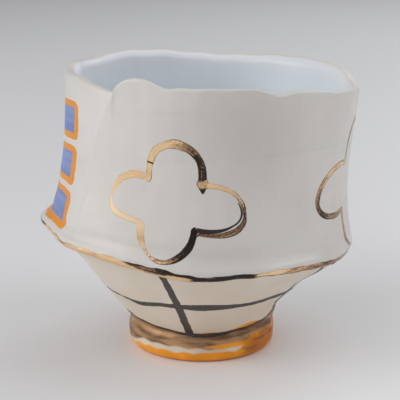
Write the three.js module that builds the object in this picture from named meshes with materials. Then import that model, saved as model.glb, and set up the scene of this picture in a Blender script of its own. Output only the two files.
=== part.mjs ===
// Hand-built porcelain cup on a ring foot: a flaring cone, a pinched shoulder ridge and an upright wall.
// The wall is one slab rolled round, and its outer end laps over the inner one and stands up as a tab.
// Millimetres, +Z up. The origin is below the middle of the cup, on the surface it stands on.
// Angles are in degrees from the front (-Y), positive towards the right (+X).
import * as THREE from 'three';

// Ring foot
const FOOT_AXIS_X = 1.3;
const FOOT_RADIUS = 25.2;
const FOOT_SWELL = 0.7;
const FOOT_HEIGHT = 10;
const FOOT_SIDE_HEIGHT = 3.4;
const TREAD_OUTER_RADIUS = 22.4;
const TREAD_INNER_RADIUS = 19.8;
const TREAD_EDGE = 0.6;
const RECESS_RADIUS = 17.6;
const RECESS_DEPTH = 3.8;

// Cone between the foot and the shoulder ridge
const JOINT_RADIUS = 24.3;
const CONE_TOP_RADIUS = 48.9;
const CONE_BEND_RADIUS = 38;
const CONE_BEND_HEIGHT = 23.2;
const CONE_DENT = { height: -4.3, at: 76, spread: 40 };
const DENT_FULL_RADIUS = 32.3;
const DENT_FADE_START = 28.5;
const DENT_FADE_END = 35.6;
const DENT_INSIDE = 0.45;
const DENT_SKIN_START = 7;
const DENT_SKIN_END = 12;

// Shoulder ridge
const SHOULDER_HEIGHT = 39;
const SHOULDER_RAISE = 1.1;
const SHOULDER_TILT = 4.4;
const SHOULDER_HUMPS = [
  { height: -1.8, at: -3, spread: 16 },
  { height: -0.5, at: -55, spread: 10 },
  { height: 0.9, at: 45, spread: 15 },
];
const RIDGE_RADIUS = 52.4;
const RIDGE_ROOT_RADIUS = 46;
const RIDGE_DEPTH = 2;
const RIDGE_SPREAD = 2.2;
const RIDGE_HUMPS = [
  { height: 1.9, at: -93, spread: 13 },
  { height: 0.5, at: -60, spread: 22 },
  { height: -1, at: 88, spread: 38 },
];

// Wall and rim
const RIM_HEIGHT = 95;
const RIM_EDGE = 0.9;
const RIM_BEVEL = 3;
const RIM_AT_EACH_HOUR = [-0.7, 1.5, 2.4, 0.8, 1.4, 0.2, 1.6, 0.3, -3.1, -4.8, -1, -0.5];
const RIM_HUMPS = [
  { height: -1.6, at: 25, spread: 5.5 },
  { height: -1.8, at: -44, spread: 10 },
  { height: -1.6, at: -120, spread: 12 },
  { height: 1.0, at: -97, spread: 6 },
  { height: 0.6, at: -12.5, spread: 4.5 },
  { height: 0.5, at: 110, spread: 9 },
  { height: -0.4, at: 166, spread: 9 },
];
const WALL_RADIUS = 49.3;
const WALL_THICKNESS = 4.8;
const WALL_START = 0.05;
const WAIST = 1;
const FLARE = 2.4;
const FLARE_REACH = 0.27;
const BULGE = { height: 0.55, at: 90, spread: 35 };
const BULGE_MIDDLE = 42.6;
const BULGE_REACH = 4.5;
const HOLLOW = { height: -0.9, at: -97, spread: 32 };
const HOLLOW_MIDDLE = 49;
const HOLLOW_REACH = 7.5;

// Sideways drift of the axis above the foot
const SHOULDER_DRIFT = -1;
const RIM_DRIFT = 3.5;

// Lapped seam and its tab
const SEAM_LOW_ANGLE = -55.5;
const SEAM_TOP_ANGLE = -37.5;
const SEAM_SWEEP = 5.5;
const SEAM_SWEEP_POWER = 8;
const SEAM_EDGE = 1.2;
const LAP_STEP_LOW = 0.4;
const LAP_STEP_TOP = 2;
const LAP_SPREAD = 13;
const TAB_RISE = 3.9;
const TAB_CORNER = 8.5;
const TAB_FALL_START = 9.4;
const TAB_FALL_END = 22.7;

// Inside of the bowl
const FLOOR_HEIGHT = 10;
const FLOOR_RADIUS = 22.5;
const FLOOR_EDGE_HEIGHT = 15.5;
const BOWL_RADIUS = 42;
const BOWL_HEIGHT = 36.4;
const BOWL_WALL_START = 0.24;

// Facets
const SEGMENTS = 80;
const SEAM_GATHER = 0.6;

const WALL_HEIGHT = RIM_HEIGHT - SHOULDER_HEIGHT;
const { clamp, lerp, smoothstep, degToRad, radToDeg, euclideanModulo } = THREE.MathUtils;
const point = (radius, height) => new THREE.Vector2(radius, height);

// Signed angle from one direction to another, within half a turn
const turnFrom = (angle, centre) => euclideanModulo(angle - centre + 180, 360) - 180;

// Soft hump around one direction, and a row of them added up
const hump = (angle, { height, at, spread }) => height * Math.exp(-((turnFrom(angle, at) / spread) ** 2));
const humps = (angle, list) => list.reduce((sum, one) => sum + hump(angle, one), 0);

// How far up the wall a height lies, from the shoulder (0) to the rim (1)
const riseAt = (height) => clamp((height - SHOULDER_HEIGHT) / WALL_HEIGHT, 0, 1);

// Outside and inside of the wall before the clay is pushed about
const flareAt = (rise) => FLARE * Math.exp(-((rise / FLARE_REACH) ** 2));
function wallPoint(rise) {
  const waist = WAIST * Math.sin(Math.PI * rise);
  return point(WALL_RADIUS - waist + flareAt(rise), SHOULDER_HEIGHT + WALL_HEIGHT * rise);
}
const innerWallPoint = (rise) => wallPoint(rise).sub(point(WALL_THICKNESS + flareAt(rise), 0));

// Points of one bend, without its first
function bend(from, via, to, count) {
  return new THREE.QuadraticBezierCurve(from, via, to).getPoints(count).slice(1);
}

// Points of one run along the section, without its first
function run(pointAt, from, to, count) {
  return Array.from({ length: count }, (_, step) => pointAt(lerp(from, to, (step + 1) / count)));
}

// Lip from the outside of the wall (0) over its top (0.5) to the inside (1), where it slopes longer
const wallTop = 1 - RIM_EDGE / WALL_HEIGHT;
const innerTop = 1 - RIM_BEVEL / WALL_HEIGHT;
function rimPoint(turn) {
  const top = wallPoint(wallTop).x - RIM_EDGE;
  const swing = Math.PI * turn;
  const across = turn > 0.5 ? top - innerWallPoint(innerTop).x : RIM_EDGE;
  const fall = turn > 0.5 ? RIM_BEVEL : RIM_EDGE;
  return point(top + across * Math.cos(swing), RIM_HEIGHT - fall * (1 - Math.sin(swing)));
}

// Section of the cup from the middle of its recess, up the outside, over the rim and down to the floor
function section() {
  const tread = point(TREAD_OUTER_RADIUS, 0);
  const footSide = point(FOOT_RADIUS, FOOT_SIDE_HEIGHT);
  const joint = point(JOINT_RADIUS, FOOT_HEIGHT);
  const coneTop = point(CONE_TOP_RADIUS, SHOULDER_HEIGHT - RIDGE_DEPTH);
  const ridge = point(RIDGE_RADIUS, SHOULDER_HEIGHT);
  const wallFoot = wallPoint(WALL_START);
  const bowlWall = innerWallPoint(BOWL_WALL_START);
  const bowl = point(BOWL_RADIUS, BOWL_HEIGHT);
  const floorEdge = point(FLOOR_RADIUS, FLOOR_EDGE_HEIGHT);
  const floor = point(0, FLOOR_HEIGHT);
  return [
    point(0, RECESS_DEPTH),
    point(RECESS_RADIUS, RECESS_DEPTH),
    point(TREAD_INNER_RADIUS - TREAD_EDGE, TREAD_EDGE),
    point(TREAD_INNER_RADIUS, 0),
    tread,
    ...bend(tread, point(FOOT_RADIUS, 0), footSide, 3),
    ...bend(footSide, point(FOOT_RADIUS + FOOT_SWELL, 2 * FOOT_SIDE_HEIGHT), joint, 3),
    ...bend(joint, point(CONE_BEND_RADIUS, CONE_BEND_HEIGHT), coneTop, 5),
    ...bend(coneTop, point(RIDGE_RADIUS, coneTop.y), ridge, 2),
    ...bend(ridge, point(RIDGE_RADIUS, (ridge.y + wallFoot.y) / 2), wallFoot, 2),
    ...run(wallPoint, WALL_START, wallTop, 9),
    ...run(rimPoint, 0, 1, 6),
    ...run(innerWallPoint, innerTop, BOWL_WALL_START, 4),
    ...bend(bowlWall, point(bowlWall.x, SHOULDER_HEIGHT), bowl, 3),
    ...run((along) => bowl.clone().lerp(floorEdge, along), 0, 1, 2),
    ...bend(floorEdge, point(FLOOR_RADIUS - FLOOR_EDGE_HEIGHT + FLOOR_HEIGHT, FLOOR_HEIGHT), floor, 3),
  ];
}

// Direction of the lap's edge
const seamAngle = (rise) =>
  lerp(SEAM_LOW_ANGLE, SEAM_TOP_ANGLE - SEAM_SWEEP, rise) + SEAM_SWEEP * rise ** SEAM_SWEEP_POWER;

// How far the shoulder ridge stands above its mean height
function shoulderLift(angle) {
  return SHOULDER_RAISE - SHOULDER_TILT * Math.sin(degToRad(angle)) + humps(angle, SHOULDER_HUMPS);
}

// Smooth curve through the rim's heights at the hours of a clock face, from the back round by the left
function rimWave(angle) {
  const hours = RIM_AT_EACH_HOUR.length;
  const hour = (turnFrom(angle, 180) / 360) * hours;
  const first = Math.floor(hour);
  const t = hour - first;
  const [a, b, c, d] = [-1, 0, 1, 2].map((step) => RIM_AT_EACH_HOUR[euclideanModulo(first + step, hours)]);
  return b + 0.5 * t * (c - a + t * (2 * a - 5 * b + 4 * c - d + t * (3 * (b - c) + d - a)));
}

// The slab's outer corner, standing above the rim with a rounded edge
function tabLift(angle) {
  const past = turnFrom(angle, SEAM_TOP_ANGLE);
  const corner = clamp(past / TAB_CORNER, 0, 1);
  const fall = smoothstep(past, TAB_FALL_START, TAB_FALL_END);
  return TAB_RISE * Math.sqrt(1 - (1 - corner) ** 2) * (1 - fall);
}

// Extra radius where the slab's end lies on top of the other, easing back round the cup
function lapStep(angle, rise) {
  const past = turnFrom(angle, seamAngle(rise));
  const step = lerp(LAP_STEP_LOW, LAP_STEP_TOP, rise) * smoothstep(rise, 0, 3 * WALL_START);
  return step * smoothstep(past, 0, SEAM_EDGE) * Math.exp(-Math.max(past, 0) / LAP_SPREAD);
}

// Where a point of the section lies once the soft clay has been pushed about
function place({ x: radius, y: height }, angle) {
  const rise = riseAt(height);
  const innerRadius = WALL_RADIUS - WALL_THICKNESS - WAIST;
  const cone = clamp((radius - JOINT_RADIUS) / (innerRadius - JOINT_RADIUS), 0, 1);
  const outside = clamp((radius - WALL_RADIUS) / WALL_THICKNESS + 1, 0, 1);
  const fromRidge = (height - SHOULDER_HEIGHT) / RIDGE_SPREAD;
  const ridge = Math.exp(-(fromRidge ** 2)) * smoothstep(radius, RIDGE_ROOT_RADIUS, RIDGE_RADIUS);
  const fromBulge = (height - BULGE_MIDDLE) / BULGE_REACH;
  const bulge = Math.exp(-(fromBulge ** 2)) * smoothstep(fromBulge, -1, 0) * outside;
  const fromHollow = (height - HOLLOW_MIDDLE) / HOLLOW_REACH;
  const hollow = Math.exp(-(fromHollow ** 2)) * smoothstep(rise, 0, 2 * WALL_START) * outside;
  const skin = smoothstep(radius - height, DENT_SKIN_START, DENT_SKIN_END);
  const fade = smoothstep(height, DENT_FADE_START, DENT_FADE_END);
  const dent = smoothstep(radius, JOINT_RADIUS, DENT_FULL_RADIUS) * (1 - fade) * lerp(DENT_INSIDE, 1, skin);
  const pushed = radius
    + ridge * humps(angle, RIDGE_HUMPS)
    + bulge * hump(angle, BULGE)
    + hollow * hump(angle, HOLLOW)
    + dent * hump(angle, CONE_DENT)
    + outside * lapStep(angle, rise);
  const rimLift = rimWave(angle) + humps(angle, RIM_HUMPS) + tabLift(angle);
  const lift = lerp(cone * shoulderLift(angle), rimLift, rise);
  const drift = lerp(cone * SHOULDER_DRIFT, RIM_DRIFT, rise);
  const turn = degToRad(angle);
  return new THREE.Vector3(
    FOOT_AXIS_X + drift + pushed * Math.sin(turn),
    -pushed * Math.cos(turn),
    height + lift,
  );
}

// Turned section, with its columns gathered at the seam and leaning with it, then pushed into shape
function cupGeometry() {
  const points = section();
  const geometry = new THREE.LatheGeometry(points, SEGMENTS);
  const { position } = geometry.attributes;
  for (let column = 0; column <= SEGMENTS; column += 1) {
    const turn = (2 * Math.PI * (column % SEGMENTS)) / SEGMENTS - Math.PI;
    const past = radToDeg(turn - SEAM_GATHER * Math.sin(turn));
    points.forEach((at, row) => {
      const placed = place(at, seamAngle(riseAt(at.y)) + past);
      position.setXYZ(column * points.length + row, placed.x, placed.y, placed.z);
    });
  }
  geometry.computeVertexNormals();
  return geometry;
}

const porcelain = new THREE.MeshStandardMaterial({ color: 0xd8d4ce, roughness: 0.32, metalness: 0 });
const cup = new THREE.Mesh(cupGeometry(), porcelain);
cup.name = 'cup';

const part = new THREE.Group();
part.add(cup);

export default part;
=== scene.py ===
"""Hand-built porcelain cup, painted with gold lustre lines, on a pale studio floor."""

import math

import bpy
import numpy as np
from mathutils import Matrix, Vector


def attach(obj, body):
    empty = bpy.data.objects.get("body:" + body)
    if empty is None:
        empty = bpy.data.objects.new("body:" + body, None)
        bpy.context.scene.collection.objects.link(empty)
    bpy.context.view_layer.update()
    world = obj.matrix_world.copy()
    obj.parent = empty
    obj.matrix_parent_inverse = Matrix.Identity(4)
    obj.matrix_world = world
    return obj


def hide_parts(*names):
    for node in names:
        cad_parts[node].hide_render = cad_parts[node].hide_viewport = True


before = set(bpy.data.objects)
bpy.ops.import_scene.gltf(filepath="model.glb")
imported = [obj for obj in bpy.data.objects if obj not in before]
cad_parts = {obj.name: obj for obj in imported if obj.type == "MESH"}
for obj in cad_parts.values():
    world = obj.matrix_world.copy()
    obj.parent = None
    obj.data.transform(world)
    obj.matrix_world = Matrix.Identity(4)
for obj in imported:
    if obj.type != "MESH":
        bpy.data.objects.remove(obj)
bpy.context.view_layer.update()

# Sizes are in millimetres. Angles are in degrees from the front, positive to the right.
MM = 0.001

# Mesh columns round the cup, and how much closer they stand at the seam
COLUMNS = 456
SEAM_GATHER = 0.45

# Foot ring, with its recess underneath
FOOT_AXIS_X = 1.3
FOOT_RADIUS = 25.2
FOOT_SWELL = 0.7
FOOT_HEIGHT = 10.0
FOOT_SIDE_HEIGHT = 3.4
TREAD_OUTER_RADIUS = 22.4
TREAD_INNER_RADIUS = 19.8
TREAD_EDGE = 0.6
RECESS_RADIUS = 17.6
RECESS_DEPTH = 3.8

# Flaring cone above the foot. A hump is a height, its direction and its spread.
JOINT_RADIUS = 24.3
CONE_TOP_RADIUS = 48.9
CONE_BEND = (38.0, 23.2)
CONE_DENT = (-4.3, 76, 40)
DENT_FULL_RADIUS = 32.3
DENT_FADE = (28.5, 35.6)
DENT_SKIN = (7.0, 12.0)
DENT_INSIDE = 0.45

# Shoulder ridge
SHOULDER_HEIGHT = 39.0
SHOULDER_RAISE = 1.1
SHOULDER_TILT = 4.4
SHOULDER_HUMPS = [(-1.8, -3, 16), (-0.5, -55, 10), (0.9, 45, 15)]
SHOULDER_DRIFT = -1.0
RIDGE_RADIUS = 52.4
RIDGE_ROOT_RADIUS = 46.0
RIDGE_DEPTH = 2.0
RIDGE_SPREAD = 2.2
RIDGE_HUMPS = [(1.9, -93, 13), (0.5, -60, 22), (-1.0, 88, 38)]

# Slab wall and rim. Starts and the flare's reach are shares of the wall's height.
RIM_HEIGHT = 95.0
RIM_EDGE = 0.9
RIM_BEVEL = 3.0
RIM_AT_EACH_HOUR = np.array([-0.7, 1.5, 2.4, 0.8, 1.4, 0.2, 1.6, 0.3, -3.1, -4.8, -1, -0.5])
RIM_HUMPS = [
    (-1.6, 25, 5.5), (-1.8, -44, 10), (-1.6, -120, 12), (1.0, -97, 6),
    (0.6, -12.5, 4.5), (0.5, 110, 9), (-0.4, 166, 9),
]
RIM_DRIFT = 3.5
WALL_RADIUS = 49.3
WALL_THICKNESS = 4.8
WALL_START = 0.05
WAIST = 1.0
FLARE = 2.4
FLARE_REACH = 0.27
BULGE = (0.55, 90, 35)
BULGE_MIDDLE = 42.6
BULGE_REACH = 4.5
HOLLOW = (-0.9, -97, 32)
HOLLOW_MIDDLE = 49.0
HOLLOW_REACH = 7.5
HOLLOW_START = 2 * WALL_START
LAP_START = 3 * WALL_START

# Lapped seam and the slab's corner above it. Its steps and rise are lengths, and its widths are angles.
SEAM_LOW_ANGLE = -55.5
SEAM_TOP_ANGLE = -37.5
SEAM_SWEEP = 5.5
SEAM_SWEEP_POWER = 8
SEAM_EDGE = 1.2
SEAM_EDGE_LOW = 4.0
LAP_STEP_LOW = 0.4
LAP_STEP_TOP = 2.0
LAP_SPREAD = 13.0
TAB_RISE = 3.9
TAB_CORNER = 8.5
TAB_FALL_START = 9.4
TAB_FALL_END = 22.7

# Hollow inside the cup
FLOOR_HEIGHT = 10.0
FLOOR_RADIUS = 22.5
FLOOR_EDGE_HEIGHT = 15.5
BOWL_RADIUS = 42.0
BOWL_HEIGHT = 36.4
BOWL_WALL_START = 0.24

# Marks of the hand: how far each moves the clay, where the roll lies, and the groove's width as an angle
SLAB_UNEVENNESS = 0.24
ROLL_ABOVE_RIDGE = 0.4
ROLL_HEIGHTS = (2.2, 5.2)
ROLL_REACH = 1.9
FINGER_MARKS = 0.05
RIM_NIBBLE = 0.14
RIDGE_NIBBLE = 0.14
RIDGE_NIBBLE_UP = 0.07
FOOT_NIBBLE = 0.15
SEAM_GROOVE = 0.1
SEAM_GROOVE_WIDTH = 1.3

WALL_HEIGHT = RIM_HEIGHT - SHOULDER_HEIGHT
WALL_TOP = 1 - RIM_EDGE / WALL_HEIGHT
INNER_TOP = 1 - RIM_BEVEL / WALL_HEIGHT
INNER_RADIUS = WALL_RADIUS - WALL_THICKNESS - WAIST
MM_PER_DEGREE = math.radians(WALL_RADIUS - WAIST / 2)


def lerp(low, high, t):
    """Value part of the way from low to high."""
    return low + (high - low) * t


def smoothstep(x, low, high):
    """Soft step from 0 at low to 1 at high."""
    t = np.clip((x - low) / (high - low), 0, 1)
    return t * t * (3 - 2 * t)


def turn_from(angle, centre):
    """Signed angle from one direction to another, within half a turn."""
    return (angle - centre + 180) % 360 - 180


def bell(offset, reach):
    """Soft bump that is 1 in its middle."""
    return np.exp(-((offset / reach) ** 2))


def hump(angle, one):
    """Soft hump round one direction."""
    height, at, spread = one
    return height * bell(turn_from(angle, at), spread)


def humps(angle, many):
    """Several humps added up."""
    return sum(hump(angle, one) for one in many)


def waves(angle, height, turns, rises, seed, count=14):
    """Even mix of soft waves round and up the cup, mostly within -1 to 1."""
    random = np.random.default_rng(seed)
    total = 0
    for _ in range(count):
        turn = random.integers(turns[0], turns[1] + 1)
        rise = random.uniform(rises[0], rises[1])
        start = random.uniform(0, 2 * math.pi)
        total = total + np.sin(turn * np.radians(angle) + rise * height + start)
    return total / math.sqrt(count)


def ripples(angle, turns, seed):
    """Even mix of soft waves round the cup alone."""
    return waves(angle, 0, turns, (0, 0), seed)


def rise_at(height):
    """How far up the wall a height lies, from the shoulder (0) to the rim (1)."""
    return np.clip((height - SHOULDER_HEIGHT) / WALL_HEIGHT, 0, 1)


def flare_at(rise):
    """How far the wall's foot stands out."""
    return FLARE * bell(rise, FLARE_REACH)


def point(radius, height):
    """One point of the section."""
    return np.array([radius, height], float)


def wall_point(rise):
    """Outside of the wall."""
    waist = WAIST * math.sin(math.pi * rise)
    return point(WALL_RADIUS - waist + flare_at(rise), SHOULDER_HEIGHT + WALL_HEIGHT * rise)


def inner_wall_point(rise):
    """Inside of the wall."""
    return wall_point(rise) - point(WALL_THICKNESS + flare_at(rise), 0)


def rim_point(turn):
    """Lip from the wall's outside (0) over its top (0.5) to its inside (1), where it slopes longer."""
    top = wall_point(WALL_TOP)[0] - RIM_EDGE
    across, fall = RIM_EDGE, RIM_EDGE
    if turn > 0.5:
        across, fall = top - inner_wall_point(INNER_TOP)[0], RIM_BEVEL
    swing = math.pi * turn
    return point(top + across * math.cos(swing), RIM_HEIGHT - fall * (1 - math.sin(swing)))


def run(point_at, start, end, count):
    """Points of one run along the section, without its first."""
    return [point_at(lerp(start, end, (step + 1) / count)) for step in range(count)]


def bend(start, via, end, count):
    """Points of one bend, without its first."""
    return run(lambda t: lerp(lerp(start, via, t), lerp(via, end, t), t), 0, 1, count)


def straight(start, end, count):
    """Points of one straight line, without its first."""
    return run(lambda t: lerp(start, end, t), 0, 1, count)


def section():
    """Section from beside the recess's middle, up the outside, over the rim and down to the floor."""
    recess = point(RECESS_RADIUS, RECESS_DEPTH)
    tread_inside = point(TREAD_INNER_RADIUS - TREAD_EDGE, TREAD_EDGE)
    tread_edge = point(TREAD_INNER_RADIUS, 0)
    tread = point(TREAD_OUTER_RADIUS, 0)
    foot_side = point(FOOT_RADIUS, FOOT_SIDE_HEIGHT)
    foot_swell = point(FOOT_RADIUS + FOOT_SWELL, 2 * FOOT_SIDE_HEIGHT)
    joint = point(JOINT_RADIUS, FOOT_HEIGHT)
    cone_top = point(CONE_TOP_RADIUS, SHOULDER_HEIGHT - RIDGE_DEPTH)
    ridge = point(RIDGE_RADIUS, SHOULDER_HEIGHT)
    wall_foot = wall_point(WALL_START)
    bowl_wall = inner_wall_point(BOWL_WALL_START)
    bowl = point(BOWL_RADIUS, BOWL_HEIGHT)
    floor_edge = point(FLOOR_RADIUS, FLOOR_EDGE_HEIGHT)
    floor_bend = point(FLOOR_RADIUS - FLOOR_EDGE_HEIGHT + FLOOR_HEIGHT, FLOOR_HEIGHT)
    floor = point(0, FLOOR_HEIGHT)
    # The last number of each run is how many points it has
    return np.array([
        *straight(point(0, RECESS_DEPTH), recess, 4),
        *straight(recess, tread_inside, 3),
        *straight(tread_inside, tread_edge, 2),
        *straight(tread_edge, tread, 3),
        *bend(tread, point(FOOT_RADIUS, 0), foot_side, 8),
        *bend(foot_side, foot_swell, joint, 11),
        *bend(joint, point(*CONE_BEND), cone_top, 42),
        *bend(cone_top, point(RIDGE_RADIUS, cone_top[1]), ridge, 8),
        *bend(ridge, point(RIDGE_RADIUS, (ridge[1] + wall_foot[1]) / 2), wall_foot, 7),
        *run(wall_point, WALL_START, WALL_TOP, 74),
        *run(rim_point, 0, 1, 14),
        *run(inner_wall_point, INNER_TOP, BOWL_WALL_START, 16),
        *bend(bowl_wall, point(bowl_wall[0], SHOULDER_HEIGHT), bowl, 5),
        *straight(bowl, floor_edge, 7),
        *bend(floor_edge, floor_bend, floor, 7)[:-1],
    ])


def seam_angle(rise):
    """Direction of the lap's edge."""
    straight_on = lerp(SEAM_LOW_ANGLE, SEAM_TOP_ANGLE - SEAM_SWEEP, rise)
    return straight_on + SEAM_SWEEP * np.maximum(rise, 0) ** SEAM_SWEEP_POWER


def shoulder_lift(angle):
    """How far the shoulder ridge stands above its mean height."""
    return SHOULDER_RAISE - SHOULDER_TILT * np.sin(np.radians(angle)) + humps(angle, SHOULDER_HUMPS)


def rim_wave(angle):
    """Smooth curve through the rim's heights at twelve hours, from the back round by the left."""
    hours = len(RIM_AT_EACH_HOUR)
    hour = turn_from(angle, 180) / 360 * hours
    first = np.floor(hour).astype(int)
    t = hour - first
    a, b, c, d = (RIM_AT_EACH_HOUR[(first + step) % hours] for step in (-1, 0, 1, 2))
    return b + 0.5 * t * (c - a + t * (2 * a - 5 * b + 4 * c - d + t * (3 * (b - c) + d - a)))


def tab_lift(angle):
    """The slab's outer corner, standing above the rim with a rounded edge."""
    past = turn_from(angle, SEAM_TOP_ANGLE)
    corner = np.clip(past / TAB_CORNER, 0, 1)
    fall = smoothstep(past, TAB_FALL_START, TAB_FALL_END)
    return TAB_RISE * np.sqrt(1 - (1 - corner) ** 2) * (1 - fall)


def lap_step(angle, rise):
    """Extra radius where the slab's end lies on top of the other, with a groove along its edge."""
    past = turn_from(angle, seam_angle(rise))
    lapped = smoothstep(rise, 0, LAP_START)
    step = lerp(LAP_STEP_LOW, LAP_STEP_TOP, rise) * lapped
    edge = smoothstep(past, 0, lerp(SEAM_EDGE_LOW, SEAM_EDGE, rise))
    fade = np.exp(-np.maximum(past, 0) / LAP_SPREAD)
    groove = SEAM_GROOVE * lapped * bell(past, SEAM_GROOVE_WIDTH)
    return step * edge * fade - groove


def hand_marks(angle, height, ridge, cone, foot, outside):
    """Small unevenness of clay that was rolled, pinched and trimmed by hand."""
    slab = SLAB_UNEVENNESS * cone * waves(angle, height, turns=(3, 13), rises=(-0.12, 0.12), seed=11)
    fingers = FINGER_MARKS * cone * waves(angle, height, turns=(18, 46), rises=(-0.5, 0.5), seed=12)
    nibble = RIDGE_NIBBLE * ridge * waves(angle, height, turns=(8, 36), rises=(-0.1, 0.1), seed=13)
    trimmed = FOOT_NIBBLE * foot * waves(angle, height, turns=(4, 22), rises=(-0.3, 0.3), seed=14)
    swell, groove = (bell(height - SHOULDER_HEIGHT - up, ROLL_REACH) for up in ROLL_HEIGHTS)
    roll = ROLL_ABOVE_RIDGE * outside * (swell - groove)
    return slab + fingers + nibble + trimmed + roll


def place(radius, height, angle):
    """Where points of the section lie once the soft clay has been pushed about."""
    rise = rise_at(height)
    cone = np.clip((radius - JOINT_RADIUS) / (INNER_RADIUS - JOINT_RADIUS), 0, 1)
    outside = np.clip((radius - WALL_RADIUS) / WALL_THICKNESS + 1, 0, 1)
    near_ridge = bell(height - SHOULDER_HEIGHT, RIDGE_SPREAD)
    ridge = near_ridge * smoothstep(radius, RIDGE_ROOT_RADIUS, RIDGE_RADIUS)
    bulge_start = smoothstep(height, BULGE_MIDDLE - BULGE_REACH, BULGE_MIDDLE)
    bulge = bell(height - BULGE_MIDDLE, BULGE_REACH) * bulge_start * outside
    hollow = bell(height - HOLLOW_MIDDLE, HOLLOW_REACH) * smoothstep(rise, 0, HOLLOW_START) * outside
    dent = smoothstep(radius, JOINT_RADIUS, DENT_FULL_RADIUS) * (1 - smoothstep(height, *DENT_FADE))
    dent = dent * lerp(DENT_INSIDE, 1, smoothstep(radius - height, *DENT_SKIN))
    foot = smoothstep(height, 0, FOOT_SIDE_HEIGHT) * smoothstep(radius, RECESS_RADIUS, FOOT_RADIUS)
    foot = foot * (1 - cone)
    pushed = (
        radius
        + ridge * humps(angle, RIDGE_HUMPS)
        + bulge * hump(angle, BULGE)
        + hollow * hump(angle, HOLLOW)
        + dent * hump(angle, CONE_DENT)
        + outside * lap_step(angle, rise)
        + hand_marks(angle, height, ridge, cone, foot, outside)
    )
    rim_lift = rim_wave(angle) + humps(angle, RIM_HUMPS) + tab_lift(angle)
    rim_lift = rim_lift + RIM_NIBBLE * ripples(angle, turns=(6, 24), seed=15)
    lift = lerp(cone * shoulder_lift(angle), rim_lift, rise)
    lift = lift + RIDGE_NIBBLE_UP * ridge * ripples(angle, turns=(6, 30), seed=16)
    drift = lerp(cone * SHOULDER_DRIFT, RIM_DRIFT, rise)
    turn = np.radians(angle)
    x = FOOT_AXIS_X + drift + pushed * np.sin(turn)
    return np.stack([x, -pushed * np.cos(turn), height + lift], -1)


# Gold outlines of four lobes, one on the front and plainer ones further round
LEAVES = [
    {
        "middle": (-11.8, 59.8),
        "lobes": [
            {
                "path": [(-8.8, 6.5), (-9.4, 25.4), (10.4, 19.4)],
                "low": (-1.6, -1.1, -1.7, -0.8, -1.4),
                "high": (0.2, 1.1, 1.3, 1.4, 1.3),
                "dark": (0.25, 0.05, 0.32, 0.85, 0.9),
            },
            {
                "path": [(8.6, 6.7), (23.9, 6.8), (30.5, -11.2)],
                "low": (-1.0, -0.1, -0.4, -0.1, 0.0),
                "high": (0.7, 1.1, 0.7, 1.9, 1.0),
                "dark": (-0.05, 0.0, 0.6, 0.6, 0.5),
            },
            {
                "path": [(7.7, -7.1), (8.3, -15.9), (-7.3, -25.0)],
                "low": (-1.3, -1.3, -0.5, -0.4, -1.6),
                "high": (0.7, 1.1, 0.9, 0.4, 1.2),
                "dark": (1.0, 1.0, 0.5, 0.1, -0.1),
            },
            {
                "path": [(-9.3, -8.2), (-26.5, -7.4), (-22.9, 5.4)],
                "low": (-1.3, -0.8, -0.8, -0.6, -1.0),
                "high": (0.2, 1.0, 0.1, 1.7, 1.4),
                "dark": (-0.1, -0.08, -0.04, 0.0, 0.0),
            },
        ],
    },
    {
        "middle": (80.0, 62.0),
        "lobes": [
            {
                "path": [(-9.2, 9.0), (-10.0, 27.7), (10.0, 27.7)],
                "low": (-1.0, -1.1, -1.2, -1.1, -1.0),
                "high": (0.8, 1.1, 1.2, 1.1, 1.0),
                "dark": (0.55, 0.6, 0.4, 0.2, 0.2),
            },
            {
                "path": [(9.0, 9.0), (27.0, 10.0), (27.0, -10.0)],
                "low": (-1.0, -1.0, -1.0, -1.0, -1.0),
                "high": (1.0, 1.0, 1.0, 1.0, 1.0),
                "dark": (0.2, 0.1, 0.2, 0.5, 0.6),
            },
            {
                "path": [(9.0, -8.0), (9.0, -27.0), (-10.0, -27.0)],
                "low": (-1.0, -1.1, -1.1, -0.9, -0.8),
                "high": (1.0, 1.1, 1.1, 0.9, 0.8),
                "dark": (0.6, 0.5, 0.45, 0.5, 0.4),
            },
            {
                "path": [(-9.6, -7.4), (-39.0, -13.5), (-28.0, 10.3)],
                "low": (-1.0, -1.0, -1.2, -1.3, -1.0),
                "high": (0.8, 1.0, 1.0, 1.0, 0.9),
                "dark": (0.4, 0.8, 0.6, 0.25, 0.3),
            },
        ],
    },
    {
        "middle": (169.0, 61.0),
        "lobes": [
            {
                "path": [(-8.5, 8.5), (-8.5, 24.0), (8.5, 24.0)],
                "low": (-1.0, -1.2, -1.2, -1.0, -1.0),
                "high": (1.0, 1.2, 1.2, 1.0, 1.0),
                "dark": (0.3, 0.1, 0.0, 0.1, 0.2),
            },
            {
                "path": [(8.5, 8.5), (26.0, 8.5), (26.0, -8.5)],
                "low": (-1.0, -0.8, -0.8, -0.8, -1.0),
                "high": (1.0, 0.8, 0.8, 0.8, 1.0),
                "dark": (0.2, 0.0, 0.1, 0.1, 0.2),
            },
            {
                "path": [(8.5, -8.5), (8.5, -23.0), (-8.5, -23.0)],
                "low": (-1.0, -1.1, -0.9, -1.1, -1.0),
                "high": (1.0, 1.1, 0.9, 1.1, 1.0),
                "dark": (0.3, 0.6, 0.8, 0.6, 0.4),
            },
            {
                "path": [(-8.5, -8.5), (-26.0, -8.5), (-26.0, 8.5)],
                "low": (-1.0, -0.8, -0.8, -0.8, -1.0),
                "high": (1.0, 0.8, 0.8, 0.8, 1.0),
                "dark": (0.4, 0.3, 0.1, 0.1, 0.3),
            },
        ],
    },
]
# Points along each lobe
LOBE_STEPS = 60
# Thin black line inside the front outline's second stroke: its lobe, its start and its edges
LEAF_LINE_LOBE = 1
LEAF_LINE_START = 0.36
LEAF_LINE_LOW = (-0.6, -0.6, -1.05, -1.35, -1.2)
LEAF_LINE_HIGH = (-0.6, -0.6, -0.35, -0.75, 0.5)
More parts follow.
